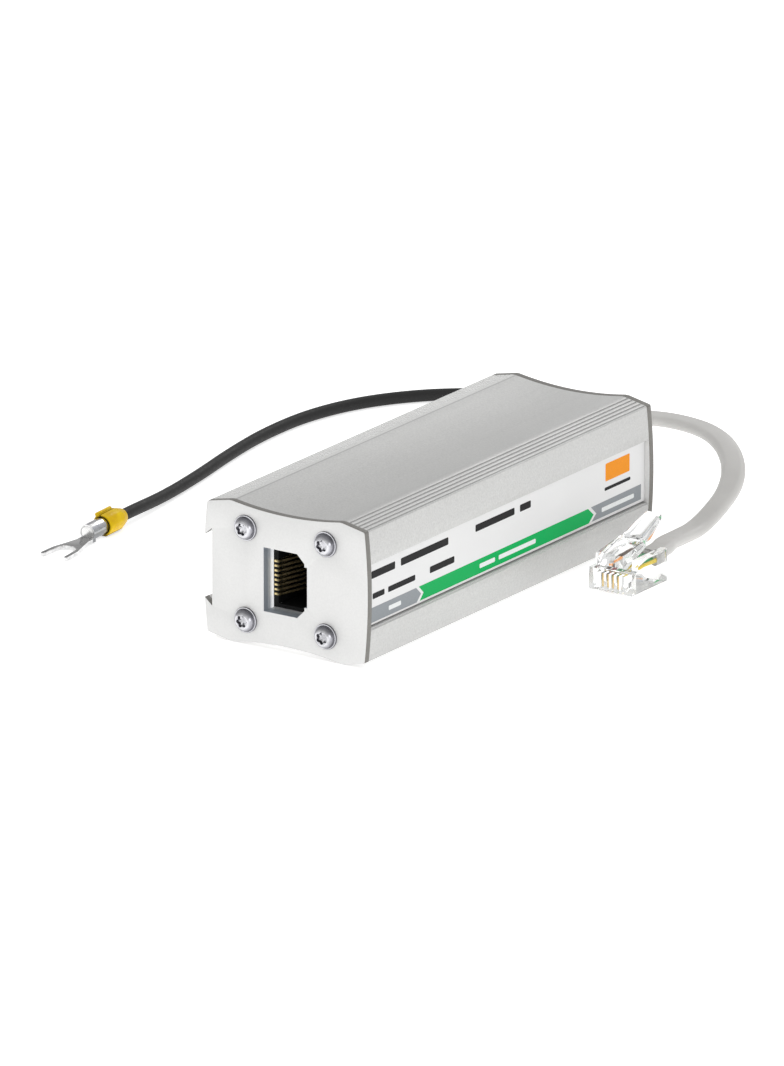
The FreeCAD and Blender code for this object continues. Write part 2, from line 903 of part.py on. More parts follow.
def fork_lug():
    tongue = tongue_face().extrude(Vec(0, 0, tongue_thickness))
    tips = [edge for edge in tongue.Edges
            if abs(edge.CenterOfMass.y + tongue_length) < 0.01
            and abs(edge.Length - tongue_thickness) < 0.01]
    tongue = tongue.makeFillet(tip_round, tips)
    barrel = Part.makeCylinder(barrel_radius, barrel_length, Vec(0, 0, 0), Vec(0, 1, 0))
    bore = Part.makeCylinder(crimped_radius + barrel_bore_clearance, barrel_length,
                             Vec(0, 0, 0), Vec(0, 1, 0))
    lug = barrel.fuse(tongue).cut(bore)
    lug.Placement = lug_placement()
    return lug


def lug_sleeve():
    # slit sleeve: round over the barrel's end, six-sided where it grips the lead, one rolled lip
    wide = barrel_radius + sleeve_clearance
    grip = earth_radius + bushing_clearance
    end = sleeve_front + sleeve_length
    outer = wide + sleeve_wall
    profile = [
        (wide, sleeve_front), (outer, sleeve_front), (outer, end - sleeve_taper),
        (grip + sleeve_wall, end), (grip, end), (grip, end - sleeve_grip),
        (wide, end - sleeve_grip - grip_cone),
    ]
    corners = [Vec(r, y, 0) for r, y in profile]
    face = Part.Face(Part.makePolygon(corners + corners[:1]))
    sleeve = face.revolve(Vec(0, 0, 0), Vec(0, 1, 0), 360)
    reach = sleeve_flat / math.cos(math.radians(30))
    hexagon = []
    for number in range(6):
        angle = math.radians(60 * number)
        hexagon.append((reach * math.cos(angle), reach * math.sin(angle)))
    sleeve = sleeve.common(prism(hexagon, sleeve_front, sleeve_length))
    lip_x = (sleeve_flat + lip_out) * math.cos(math.radians(lip_angle))
    lip_z = (sleeve_flat + lip_out) * math.sin(math.radians(lip_angle))
    lip = rod(sleeve_lip, Vec(lip_x, sleeve_front, lip_z), Vec(lip_x, end - sleeve_taper, lip_z))
    sleeve = sleeve.fuse(lip)
    slit = box(-sleeve_slit / 2, sleeve_slit / 2, sleeve_front, end, 0, outer + 1)
    slit.rotate(Vec(0, 0, 0), Vec(0, 1, 0), -slit_turn)
    sleeve = sleeve.cut(slit)
    sleeve.Placement = lug_placement()
    return sleeve


def plug_v(points):
    # points given from the plug's front face
    return [(plug_front_y + v, z) for v, z in points]


def plug_body():
    half = plug_width / 2
    profile = plug_v([(plug_chamfer, 0), (plug_length, 0), (plug_length, plug_height),
                      (nose_length, plug_height), (nose_length, nose_height), (0, nose_height),
                      (0, plug_chamfer)])
    body = side_prism(profile, plug_x - half, plug_width)
    channel_half = half - rail_width
    channel = plug_v([(nose_length, nose_height), (deck_ramp_start, nose_height),
                      (deck_ramp_end, deck_height), (plug_length, deck_height),
                      (plug_length, plug_height), (nose_length, plug_height)])
    seat_radius = hinge_radius + hinge_clearance
    seat_half = latch_width / 2 + 2 * hinge_clearance
    hinge_y = plug_front_y + hinge_v
    gap = 2 * bushing_clearance
    cutters = [
        side_prism(channel, plug_x - channel_half, 2 * channel_half),
        rod(seat_radius, Vec(plug_x - seat_half, hinge_y, hinge_z),
            Vec(plug_x + seat_half, hinge_y, hinge_z)),
        obround_block(flat_width + gap, flat_thickness + gap, plug_x, cable_z,
                      plug_cable_y, plug_front_y + plug_length),
    ]
    slot_half = blade_thickness / 2 + blade_clearance
    for offset in core_offsets():
        x = plug_x + offset
        cutters.append(rod(core_radius + blade_clearance,
                           Vec(x, plug_front_y + core_end - blade_clearance, cable_z),
                           Vec(x, plug_cable_y, cable_z)))
        cutters.append(box(x - slot_half, x + slot_half, plug_front_y,
                           plug_front_y + blade_back + blade_clearance, 0, cable_z))
    return body.cut(cutters)


def plug_contacts():
    top = cable_z - core_radius - blade_clearance
    blades = []
    for offset in core_offsets():
        x = plug_x + offset - blade_thickness / 2
        points = plug_v([(blade_front + blade_chamfer, blade_bottom), (blade_back, blade_bottom),
                         (blade_back, top), (blade_front, top),
                         (blade_front, blade_bottom + blade_chamfer)])
        blades.append(side_prism(points, x, blade_thickness))
    return Part.makeCompound(blades)


def plug_latch():
    # wide front block over the nose on a round root, and a narrower raised tab to press
    half = latch_width / 2
    underside = latch_shoulder_height - latch_depth
    root_z = hinge_z + latch_root_rise
    block = side_prism(plug_v([
        (latch_front, nose_height + latch_foot_gap), (hinge_v + latch_root, root_z),
        (latch_shoulder_v, underside), (latch_shoulder_v, latch_shoulder_height),
        (latch_front, latch_front_height)]), plug_x - half, latch_width)
    tab_start = latch_shoulder_v - latch_tab_overlap
    tab_low = underside + latch_tab_lift
    tip_low = latch_tip_height - latch_tab_thickness
    tab = side_prism(plug_v([
        (tab_start, tab_low), (latch_knee_v, latch_knee_height), (latch_tip_v, tip_low),
        (latch_tip_v, latch_tip_height), (tab_start, latch_shoulder_height + latch_tab_step)]),
        plug_x - latch_tab_width / 2, latch_tab_width)
    trim = (latch_tab_width - latch_tab_tip_width) / 2
    for side in (-1, 1):
        edge = plug_x + side * latch_tab_width / 2
        inner = edge - side * trim
        corners = [Vec(edge, plug_front_y + latch_shoulder_v, 0),
                   Vec(edge, plug_front_y + latch_tip_v, 0),
                   Vec(inner, plug_front_y + latch_tip_v, 0)]
        wedge = Part.Face(Part.makePolygon(corners + corners[:1]))
        wedge = wedge.extrude(Vec(0, 0, latch_tip_height))
        tab = tab.cut(wedge)
    hinge_y = plug_front_y + hinge_v
    root = rod(hinge_radius, Vec(plug_x - half, hinge_y, hinge_z),
               Vec(plug_x + half, hinge_y, hinge_z))
    return block.fuse([tab, root]).removeSplitter()


sub_parts = {
    "housing_profile": housing_profile(),
    "line_end_plate": line_end_plate(),
    "cable_end_plate": cable_end_plate(),
    "line_plate_screws": plate_screws(-half_length - plate_thickness, -1),
    "cable_plate_screws": plate_screws(half_length + plate_thickness, 1),
    "label_strip": label_strip(),
    "jack_shield": jack_shield(),
    "jack_housing": jack_housing(),
    "jack_contacts": jack_contacts(),
    "circuit_board": circuit_board(),
    "gas_arresters": gas_arresters(),
    "suppressor_diodes": surface_row(diode_size, diode_y),
    "series_resistors": surface_row(resistor_size, resistor_y),
    "flat_cable_bushing": flat_cable_bushing(),
    "earth_lead_bushing": earth_lead_bushing(),
    "flat_cable": flat_cable(),
    "black_core": core(0),
    "red_core": core(1),
    "green_core": core(2),
    "yellow_core": core(3),
    "earth_lead": earth_lead(),
    "earth_conductor": earth_conductor(),
    "fork_lug": fork_lug(),
    "lug_sleeve": lug_sleeve(),
    "plug_body": plug_body(),
    "plug_latch": plug_latch(),
    "plug_contacts": plug_contacts(),
}

os.makedirs("parts", exist_ok=True)
for name, shape in sub_parts.items():
    shape.exportStep("parts/" + name + ".step")
    print(name, "solids", len(shape.Solids), "valid", shape.isValid(), "volume %.1f" % shape.Volume)
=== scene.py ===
import bpy
import bmesh
import math
from mathutils import Vector, Matrix


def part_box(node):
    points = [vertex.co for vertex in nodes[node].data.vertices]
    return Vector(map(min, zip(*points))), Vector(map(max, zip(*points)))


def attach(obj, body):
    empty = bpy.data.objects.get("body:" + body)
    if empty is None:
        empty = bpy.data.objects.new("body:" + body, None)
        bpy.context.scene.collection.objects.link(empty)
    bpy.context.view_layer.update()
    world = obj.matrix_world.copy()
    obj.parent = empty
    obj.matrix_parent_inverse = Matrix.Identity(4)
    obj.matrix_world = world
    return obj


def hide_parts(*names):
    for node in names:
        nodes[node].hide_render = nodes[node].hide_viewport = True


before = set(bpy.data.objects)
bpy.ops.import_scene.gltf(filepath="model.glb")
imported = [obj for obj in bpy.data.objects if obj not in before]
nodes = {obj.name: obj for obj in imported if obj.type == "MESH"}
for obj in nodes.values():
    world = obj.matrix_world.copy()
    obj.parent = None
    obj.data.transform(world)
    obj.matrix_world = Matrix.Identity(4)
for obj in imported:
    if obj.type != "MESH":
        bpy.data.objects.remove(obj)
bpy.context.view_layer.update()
mm = 0.001
scene = bpy.context.scene

housingLow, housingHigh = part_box("housing_profile")
bodyHeight = housingHigh[2]
socketEnd = housingLow[1]     # where the line plate lies on the profile


# Camera and light

cameraSettings = {
    "azimuth": 34.11,
    "elevation": 17.75,
    "distance": 3.7168,       # long lens, nearly parallel lines
    "lens": 613.12,
    "sensor": 36,
    "clip": (0.1, 20),
    "slideRight": -0.007905,  # moves the view without turning it
    "slideUp": -0.003307,
}


def addCamera():
    s = cameraSettings
    az, el = math.radians(s["azimuth"]), math.radians(s["elevation"])
    back = Vector((math.sin(az) * math.cos(el), -math.cos(az) * math.cos(el), math.sin(el)))
    right = Vector((math.cos(az), math.sin(az), 0))
    up = back.cross(right)
    target = Vector((0, 0, bodyHeight / 2))
    data = bpy.data.cameras.new("camera")
    data.sensor_width = s["sensor"]
    data.lens = s["lens"]
    data.clip_start, data.clip_end = s["clip"]
    camera = bpy.data.objects.new("camera", data)
    camera.location = target + back * s["distance"] + right * s["slideRight"] + up * s["slideUp"]
    camera.rotation_euler = Matrix((right, up, back)).transposed().to_euler()
    scene.collection.objects.link(camera)
    scene.camera = camera


lightSettings = [
    # name, position in metres, size, power, colour
    ("backPanel", (-1.3, 0.7, 0.3), 0.7, 2.2, (1.0, 1.0, 1.0)),
    ("rightPanel", (1.1, -0.9, 0.2), 0.8, 3.0, (1.0, 0.995, 0.99)),
    ("sidePanel", (1.35, 0.6, 0.1), 0.7, 0.9, (1.0, 1.0, 1.0)),
    ("topPanel", (-0.1, 1.3, 1.05), 0.6, 4.5, (1.0, 1.0, 1.0)),
]
worldSettings = {"colour": (1.0, 1.0, 1.0), "strength": 0.72}
floorSettings = {"size": 8.0, "colour": (0.9, 0.9, 0.9), "rough": 0.85, "glow": 0.6,
                 "gap": 0.00005}


def addLights():
    middle = Vector((0, 0, bodyHeight / 2))
    for name, place, size, power, colour in lightSettings:
        data = bpy.data.lights.new(name, "AREA")
        data.shape = "DISK"
        data.size = size
        data.energy = power
        data.color = colour
        lamp = bpy.data.objects.new(name, data)
        lamp.location = place
        lamp.rotation_euler = (middle - lamp.location).to_track_quat("-Z", "Y").to_euler()
        scene.collection.objects.link(lamp)
    world = bpy.data.worlds.new("studio")
    world.use_nodes = True
    sky = world.node_tree.nodes["Background"]
    sky.inputs["Color"].default_value = (*worldSettings["colour"], 1)
    sky.inputs["Strength"].default_value = worldSettings["strength"]
    scene.world = world
    scene.view_settings.view_transform = "Standard"


def addFloor():
    half = floorSettings["size"] / 2
    z = -floorSettings["gap"]
    mesh = bpy.data.meshes.new("floor")
    mesh.from_pydata([(-half, -half, z), (half, -half, z), (half, half, z), (-half, half, z)],
                     [], [(0, 1, 2, 3)])
    mesh.materials.append(paleFloor())
    floor = bpy.data.objects.new("floor", mesh)
    scene.collection.objects.link(floor)


# Material building blocks

class Nodes:
    # keeps a material's tree short to write
    def __init__(self, name):
        self.material = bpy.data.materials.new(name)
        self.material.use_nodes = True
        self.tree = self.material.node_tree
        self.shader = self.tree.nodes["Principled BSDF"]
        self.source = None     # texture coordinates
        self.slants = None     # the surface's direction along X, Y and Z
        self.places = None     # the place along X, Y and Z

    def add(self, kind, **values):
        node = self.tree.nodes.new(kind)
        for key, value in values.items():
            setattr(node, key, value)
        return node

    def link(self, start, end):
        self.tree.links.new(start, end)

    def coords(self, output="Object"):
        if self.source is None:
            self.source = self.add("ShaderNodeTexCoord")
        return self.source.outputs[output]

    def noise(self, scale, detail=2.0, roughness=0.5, stretch=None):
        node = self.add("ShaderNodeTexNoise")
        node.inputs["Scale"].default_value = scale
        node.inputs["Detail"].default_value = detail
        node.inputs["Roughness"].default_value = roughness
        if stretch is None:
            self.link(self.coords(), node.inputs["Vector"])
        else:
            mapping = self.add("ShaderNodeMapping")
            mapping.inputs["Scale"].default_value = stretch
            self.link(self.coords(), mapping.inputs["Vector"])
            self.link(mapping.outputs["Vector"], node.inputs["Vector"])
        return node.outputs["Fac"]

    def ramp(self, value, stops):
        node = self.add("ShaderNodeValToRGB")
        elements = node.color_ramp.elements
        while len(elements) < len(stops):
            elements.new(0.5)
        for element, (position, colour) in zip(elements, stops):
            element.position = position
            element.color = (*colour, 1)
        self.link(value, node.inputs["Fac"])
        return node.outputs["Color"]

    def span(self, value, low, high, fromLow=0.35, fromHigh=0.65):
        node = self.add("ShaderNodeMapRange")
        node.inputs["From Min"].default_value = fromLow
        node.inputs["From Max"].default_value = fromHigh
        node.inputs["To Min"].default_value = low
        node.inputs["To Max"].default_value = high
        self.link(value, node.inputs["Value"])
        return node.outputs["Result"]

    def blend(self, kind, factor, first, second):
        node = self.add("ShaderNodeMix", data_type="RGBA", blend_type=kind)
        if isinstance(factor, float):
            node.inputs["Factor"].default_value = factor
        else:
            self.link(factor, node.inputs["Factor"])
        self.link(first, node.inputs["A"])
        self.link(second, node.inputs["B"])
        return node.outputs["Result"]

    def slant(self, axis):
        # part of the surface's own direction along an axis, from -1 to 1
        if self.slants is None:
            self.slants = self.add("ShaderNodeSeparateXYZ")
            self.link(self.coords("Normal"), self.slants.inputs["Vector"])
        return self.slants.outputs[axis]

    def turned(self, axis):
        # the same without its sign, from 0 to 1
        node = self.add("ShaderNodeMath", operation="ABSOLUTE")
        self.link(self.slant(axis), node.inputs[0])
        return node.outputs["Value"]

    def facing(self, axis, low, high):
        # 1 where the surface faces along the axis, either way, and 0 where it lies along it
        return self.span(self.turned(axis), 0.0, 1.0, low, high)

    def along(self, axis, low, high):
        # 0 to 1 between two places along an axis, in metres
        if self.places is None:
            self.places = self.add("ShaderNodeSeparateXYZ")
            self.link(self.coords(), self.places.inputs["Vector"])
        return self.span(self.places.outputs[axis], 0.0, 1.0, low, high)

    def corners(self, distance, depth, own=True):
        # painted shade: darkens grooves and inner corners by ambient occlusion
        node = self.add("ShaderNodeAmbientOcclusion", samples=8, only_local=own)
        node.inputs["Distance"].default_value = distance
        return self.ramp(node.outputs["AO"], [(0.35, shade(depth)), (0.85, shade(1.0))])

    def bump(self, height, distance):
        node = self.add("ShaderNodeBump")
        node.inputs["Distance"].default_value = distance
        self.link(height, node.inputs["Height"])
        self.link(node.outputs["Normal"], self.shader.inputs["Normal"])

    def colour(self, value):
        self.link(value, self.shader.inputs["Base Color"])

    def rough(self, value):
        self.link(value, self.shader.inputs["Roughness"])

    def set(self, **values):
        for key, value in values.items():
            self.shader.inputs[key.replace("_", " ")].default_value = value


def shade(level, tint=(1, 1, 1)):
    return tuple(level * t for t in tint)


def paleFloor():
    n = Nodes("paleFloor")
    s = floorSettings
    n.set(Roughness=s["rough"], Specular_IOR_Level=0.15, Emission_Color=(1, 1, 1, 1),
          Emission_Strength=s["glow"])
    n.colour(n.ramp(n.noise(3, 1), [(0.3, shade(0.99, s["colour"])), (0.7, s["colour"])]))
    return n.material


def blastedAluminium(name, s):
    # fine sand-blasted and anodised surface: small grains, faint clouds, drawing lines along Y
    n = Nodes(name)
    n.set(Metallic=s["metallic"], Specular_IOR_Level=0.5)
    level, tint, spread = s["level"], s["tint"], s["spread"]
    grain = n.noise(s["grain"], 2, 0.6)
    base = n.ramp(grain, [(0.3, shade(level * (1 - spread), tint)), (0.5, shade(level, tint)),
                          (0.7, shade(level * (1 + spread), tint))])
    clouds = n.ramp(n.noise(45, 2), [(0.3, shade(0.965)), (0.7, shade(1.0))])
    base = n.blend("MULTIPLY", 1.0, base, clouds)
    lines = n.ramp(n.noise(1.0, 2, 0.6, (1400, 5, 1400)), [(0.3, shade(0.97)), (0.6, shade(1.0))])
    base = n.blend("MULTIPLY", s["lines"], base, lines)
    # painted light and shade across the housing's width
    if "across" in s:
        base = paintedLightAcross(n, base, s)
    if "edge" in s:
        base = sawnEdge(n, base, grain, s)
    n.colour(base)
    n.rough(n.span(grain, s["rough"] - 0.05, s["rough"] + 0.07))
    n.bump(grain, s["bump"])
    return n.material


def paintedLightAcross(n, base, s):
    # painted light and shade across the width: the left land painted brighter than the hollow, with
    # painted dark lines near the lands' edges
    low, high = s["width"]
    tones = n.ramp(n.along("X", low, high), [(place, shade(tone)) for place, tone in s["across"]])
    base = n.blend("MULTIPLY", 1.0, base, tones)
    # painted shade in the grooves, apart from those of the left land
    low, high = s["grooveShadeFrom"]
    return n.blend("MULTIPLY", n.along("X", low, high), base, n.corners(0.0005, s["grooveShade"]))


def sawnEdge(n, base, grain, s):
    # the plate's edge is darker and browner than its faces
    edge = n.ramp(n.noise(900, 3, 0.6, (1, 6, 1)), [(0.3, shade(s["edge"] * 0.85, s["edgeTint"])),
                                                    (0.7, shade(s["edge"] * 1.1, s["edgeTint"]))])
    # the walls of the socket's cut-out are milled, brighter and bluer
    middle = [(0.15, shade(0.0)), (0.2, shade(1.0)), (0.8, shade(1.0)), (0.85, shade(0.0))]
    low, high = s["cutOut"]
    inside = n.blend("MULTIPLY", 1.0, n.ramp(n.along("X", low, high), middle),
                     n.ramp(n.along("Z", 0.0, bodyHeight), middle))
    milled = n.ramp(grain, [(0.3, shade(0.94, s["milled"])), (0.7, s["milled"])])
    edge = n.blend("MIX", inside, edge, milled)
    return n.blend("MIX", n.facing("Y", 0.6, 0.9), edge, base)


def wornMetal(name, level, tint, rough, metallic=1.0):
    # plated metal with fine scratches and patches of dull plating
    n = Nodes(name)
    n.set(Metallic=metallic)
    fine = n.noise(900, 3, 0.6)
    n.colour(n.ramp(fine, [(0.3, shade(level * 0.9, tint)), (0.7, shade(level, tint))]))
    n.rough(n.span(n.noise(250, 2), rough * 0.75, rough * 1.3))
    n.bump(fine, 0.00001)
    return n.material


def mouldedPlastic(name, level, tint=(1, 1, 1), rough=0.35, grain=1500, bump=0.00001,
                   specular=0.5, change=0.05, patch=140):
    # moulded plastic with a fine skin and slight changes of tone
    n = Nodes(name)
    n.set(Specular_IOR_Level=specular)
    skin = n.noise(grain, 2)
    n.colour(n.ramp(n.noise(patch, 2), [(0.3, shade(level * (1 - change), tint)),
                                        (0.7, shade(level * (1 + change / 2), tint))]))
    n.rough(n.span(skin, rough - 0.05, rough + 0.06))
    n.bump(skin, bump)
    return n.material


# Mesh helpers

def newObject(name, mesh, material, smoothAngle=None):
    thing = bpy.data.objects.new(name, mesh)
    scene.collection.objects.link(thing)
    mesh.materials.clear()
    mesh.materials.append(material)
    if smoothAngle:
        mesh.shade_smooth()
        mesh.set_sharp_from_angle(angle=math.radians(smoothAngle))
    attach(thing, "protector")
    return thing


def finishedMesh(build, name):
    bmesh.ops.recalc_face_normals(build, faces=build.faces)
    mesh = bpy.data.meshes.new(name)
    build.to_mesh(mesh)
    build.free()
    return mesh


def joinRings(build, rings):
    # walls from each ring to the following one, and a cap on both ends
    for first, second in zip(rings, rings[1:]):
        for number in range(len(first)):
            following = (number + 1) % len(first)
            build.faces.new((first[number], first[following], second[following], second[number]))
    build.faces.new(rings[0])
    build.faces.new(list(reversed(rings[-1])))


def addSlab(build, outline, left, right):
    # closed outline along Y and up, in mm, pulled across from left to right
    joinRings(build, [[build.verts.new(Vector((x, y, z)) * mm) for y, z in outline]
                      for x in (left, right)])


def slabPiece(name, outline, left, right):
    build = bmesh.new()
    addSlab(build, outline, left, right)
    thing = bpy.data.objects.new(name, finishedMesh(build, name))
    scene.collection.objects.link(thing)
    return thing


def cutAway(thing, tools):
    for tool in tools:
        cut = thing.modifiers.new("cut", "BOOLEAN")
        cut.operation = "DIFFERENCE"
        cut.solver = "EXACT"
        cut.object = tool
    # the cuts' result becomes the mesh itself
    thing.update_tag()
    graph = bpy.context.evaluated_depsgraph_get()
    uncut = thing.data
    result = bpy.data.meshes.new_from_object(thing.evaluated_get(graph))
    thing.modifiers.clear()
    thing.data = result
    bpy.data.meshes.remove(uncut)
    for tool in tools:
        mesh = tool.data
        bpy.data.objects.remove(tool)
        bpy.data.meshes.remove(mesh)


def shadingGroup(angle):
    # shades smooth except at edges sharper than the angle
    group = bpy.data.node_groups.new("shadeByAngle", "GeometryNodeTree")
    group.interface.new_socket("Mesh", in_out="INPUT", socket_type="NodeSocketGeometry")
    group.interface.new_socket("Mesh", in_out="OUTPUT", socket_type="NodeSocketGeometry")
    start = group.nodes.new("NodeGroupInput")
    end = group.nodes.new("NodeGroupOutput")
    bend = group.nodes.new("GeometryNodeInputMeshEdgeAngle")
    sharp = group.nodes.new("FunctionNodeCompare")
    sharp.operation = "GREATER_THAN"
    sharp.inputs["B"].default_value = math.radians(angle)
    normals = group.nodes.new("GeometryNodeSetMeshNormal")
    normals.mode = "SHARPNESS"
    normals.inputs["Remove Custom"].default_value = True
    group.links.new(bend.outputs["Unsigned Angle"], sharp.inputs["A"])
    group.links.new(start.outputs[0], normals.inputs["Mesh"])
    group.links.new(sharp.outputs["Result"], normals.inputs["Edge Sharpness"])
    group.links.new(normals.outputs[0], end.inputs[0])
    return group


softEdge = {
    "merge": 0.000002,    # joins the corners of neighbouring faces, metres
    "segments": 2,
    "fromAngle": 32,      # rounds edges sharper than this
    "shadeAngle": 34,
}
softShading = shadingGroup(softEdge["shadeAngle"])


def softEdges(thing, width):
    # small rounded edges, as moulding, tumbling and blasting leave them
    weld = thing.modifiers.new("weld", "WELD")
    weld.merge_threshold = softEdge["merge"]
    bevel = thing.modifiers.new("edges", "BEVEL")
    bevel.width = width * mm
    bevel.segments = softEdge["segments"]
    bevel.limit_method = "ANGLE"
    bevel.angle_limit = math.radians(softEdge["fromAngle"])
    bevel.miter_outer = "MITER_ARC"
    shading = thing.modifiers.new("shading", "NODES")
    shading.node_group = softShading


def newCurve(name, points, steps):
    # one smooth line through a cord's route
    curve = bpy.data.curves.new(name, "CURVE")
    curve.dimensions = "3D"
    curve.resolution_u = steps
    spline = curve.splines.new("NURBS")
    spline.points.add(len(points) - 1)
    for target, point in zip(spline.points, points):
        target.co = (*point, 1)
    spline.order_u = 3
    spline.use_endpoint_u = True
    spline.use_smooth = True
    return curve


lineSteps = 10    # places per stretch of a cord's measured line


def linePoints(name, points):
    # places along that smooth line
    holder = bpy.data.objects.new(name, newCurve(name, points, lineSteps))
    mesh = bpy.data.meshes.new_from_object(holder)
    line = [vertex.co.copy() for vertex in mesh.vertices]
    bpy.data.objects.remove(holder)
    bpy.data.meshes.remove(mesh)
    return line


def lineLength(line):
    return sum((b - a).length for a, b in zip(line, line[1:]))


# Flat cable

flatCable = {
    "width": 5.1 * mm,
    "thickness": 2.4 * mm,
    "dip": 0.94,                      # the web between the cores dips a little
    "around": 8,                      # steps of each round edge
    "shadeAngle": 35,
    "exit": (-6.0, 53.6, 18.5),       # where it comes out of its bushing
    "route": [
        (-6.0, 47.5, 18.5), (-6.0, 60.0, 18.5), (-6.6, 75.2, 15.6), (2.7, 84.6, 14.8),
        (16.6, 84.6, 13.2), (26.4, 75.0, 8.0), (26.0, 62.0, 1.3), (26.4, 51.5, 1.4),
        (29.2, 43.4, 3.1), (32.7, 36.2, 4.2), (32.7, 29.1, 4.2),
    ],
    "skin": {"level": 0.58, "tint": (1.0, 0.985, 0.955), "rough": 0.5, "grain": 900,
             "bump": 0.000012},
}


def flatSection():
    # two half circles, right and left, and the dip between them
    s = flatCable
    flat = (s["width"] - s["thickness"]) / 2
    radius = s["thickness"] / 2
    points = []
    for side in (1, -1):
        for step in range(s["around"] + 1):
            angle = math.pi * (step / s["around"] - side / 2)
            points.append((side * flat + radius * math.cos(angle), radius * math.sin(angle)))
        points.append((0, side * radius * s["dip"]))
    return points


def sweptMesh(name, line, section):
    build = bmesh.new()
    rings = []
    for number, point in enumerate(line):
        before = line[max(number - 1, 0)]
        after = line[min(number + 1, len(line) - 1)]
        along = (after - before).normalized()
        side = along.cross(Vector((0, 0, 1))).normalized()
        up = side.cross(along)
        rings.append([build.verts.new(point + side * a + up * b) for a, b in section])
    joinRings(build, rings)
    return finishedMesh(build, name)


def addFlatCable():
    s = flatCable
    line = linePoints("flatCableLine", [Vector(p) * mm for p in s["route"]])
    mesh = sweptMesh("flatCable", line, flatSection())
    jacket = mouldedPlastic("cableJacket", **s["skin"])
    cable = newObject("flatCable", mesh, jacket, s["shadeAngle"])
    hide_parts("flat_cable")
    print("flat cable", round(lineLength(line), 4))


# Earth lead

earthLead = {
    "radius": 1.29 * mm,
    "steps": 12,                      # rings per stretch
    "around": 5,                      # how finely the jacket is rounded
    "exit": (-13.0, 53.6, 13.0),
    "route": [
        (-75.27, -8.541, 2.281), (-75.501, 0.253, 2.475),
        (-77.6, 15.5, 1.35), (-80.0, 32.0, 1.25), (-83.2, 48.5, 1.25), (-85.2, 64.0, 1.25),
        (-84.9, 80.5, 1.25), (-80.0, 96.0, 1.25), (-69.0, 109.5, 1.25), (-54.0, 117.0, 1.25),
        (-37.0, 117.5, 1.3), (-22.5, 108.5, 1.6), (-15.0, 94.0, 3.6), (-13.2, 78.0, 9.0),
        (-13.0, 63.5, 13.0), (-13.0, 50.5, 13.0),
    ],
    "skin": {"level": 0.032, "rough": 0.48, "grain": 1200, "specular": 0.1},
}


def addEarthLead():
    s = earthLead
    route = [Vector(p) * mm for p in reversed(s["route"])]
    curve = newCurve("earthLead", route, s["steps"])
    curve.bevel_depth = s["radius"]
    curve.bevel_resolution = s["around"]
    curve.use_fill_caps = True
    curve.materials.append(mouldedPlastic("leadJacket", **s["skin"]))
    lead = bpy.data.objects.new("earthLead", curve)
    scene.collection.objects.link(lead)
    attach(lead, "protector")
    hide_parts("earth_lead")
    line = linePoints("earthLeadLine", route)
    print("earth lead", round(lineLength(line), 4))


# Screws of both end plates

panScrews = {
    "places": [(-9.8, 5.2), (9.8, 5.2), (-9.8, 24.8), (9.8, 24.8)],   # mm across and up
    "turns": (8, 31, 52, 19),          # how far each is driven home, degrees
    "sides": [("panHeadsFront", "line_plate_screws", -52.5),          # piece, CAD node, place
              ("panHeadsRear", "cable_plate_screws", 52.5)],
    "around": 60,
    "shadeAngle": 40,
    "profile": [
        # radius, height over the plate, depth of the six lobes
        (0.7, -8.0, 0), (1.25, -8.0, 0), (1.5, -7.6, 0), (1.5, 0.0, 0), (2.7, 0.0, 0),
        (2.7, 0.24, 0), (2.64, 0.32, 0), (2.46, 0.34, 0), (2.4, 0.3, 0), (2.36, 0.36, 0),
        (2.32, 0.6, 0), (2.2, 0.88, 0), (2.0, 1.16, 0), (1.74, 1.38, 0), (1.5, 1.5, 0),
        (1.28, 1.575, 0.1), (1.18, 1.56, 0.15), (1.12, 1.46, 0.17), (1.1, 0.75, 0.17),
        (0.9, 0.68, 0.12), (0.35, 0.6, 0),
    ],
    "faces": [(0.0, (0.13, 0.13, 0.15)), (0.35, (0.26, 0.26, 0.29)),  # painted shade from rim to crown, with a painted highlight near the crown
              (0.7, (0.48, 0.48, 0.52)), (0.93, (0.85, 0.85, 0.88)), (1.0, (0.6, 0.6, 0.63))],
}


def addScrews(name, node, faceY, metal):
    s = panScrews
    build = bmesh.new()
    lay = Matrix.Rotation(math.radians(-90 * math.copysign(1, faceY)), 3, "X")
    for (x, z), turn in zip(s["places"], s["turns"]):
        place = Vector((x, faceY, z))
        rings = []
        for radius, height, lobe in s["profile"]:
            ring = []
            for number in range(s["around"]):
                angle = 2 * math.pi * number / s["around"]
                reach = radius + lobe * math.cos(6 * (angle - math.radians(turn)))
                local = Vector((reach * math.cos(angle), reach * math.sin(angle), height))
                ring.append(build.verts.new((place + lay @ local) * mm))
            rings.append(ring)
        joinRings(build, rings)
    piece = newObject(name, finishedMesh(build, name), metal, s["shadeAngle"])
    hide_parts(node)


def screwMetal():
    # zinc plated, with a bluish passivation and dull patches; painted shade and highlight by how
    # each face turns
    n = Nodes("zincScrew")
    n.set(Metallic=1.0)
    fine = n.noise(1500, 3, 0.6)
    # painted shade and highlight by how far each face turns towards the plate's face
    tone = n.ramp(n.turned("Y"), panScrews["faces"])
    shadow = n.ramp(n.slant("Z"), [(0.2, shade(1.0)), (0.6, shade(0.5))])
    tone = n.blend("MULTIPLY", 0.8, tone, shadow)
    wear = n.ramp(n.noise(520, 2), [(0.35, shade(0.75)), (0.65, shade(1.0))])
    n.colour(n.blend("MULTIPLY", 1.0, tone, wear))
    n.rough(n.span(fine, 0.16, 0.28))
    n.bump(fine, 0.000006)
    return n.material


# Label print: fields of colour and plain bars, places in mm along Y and up

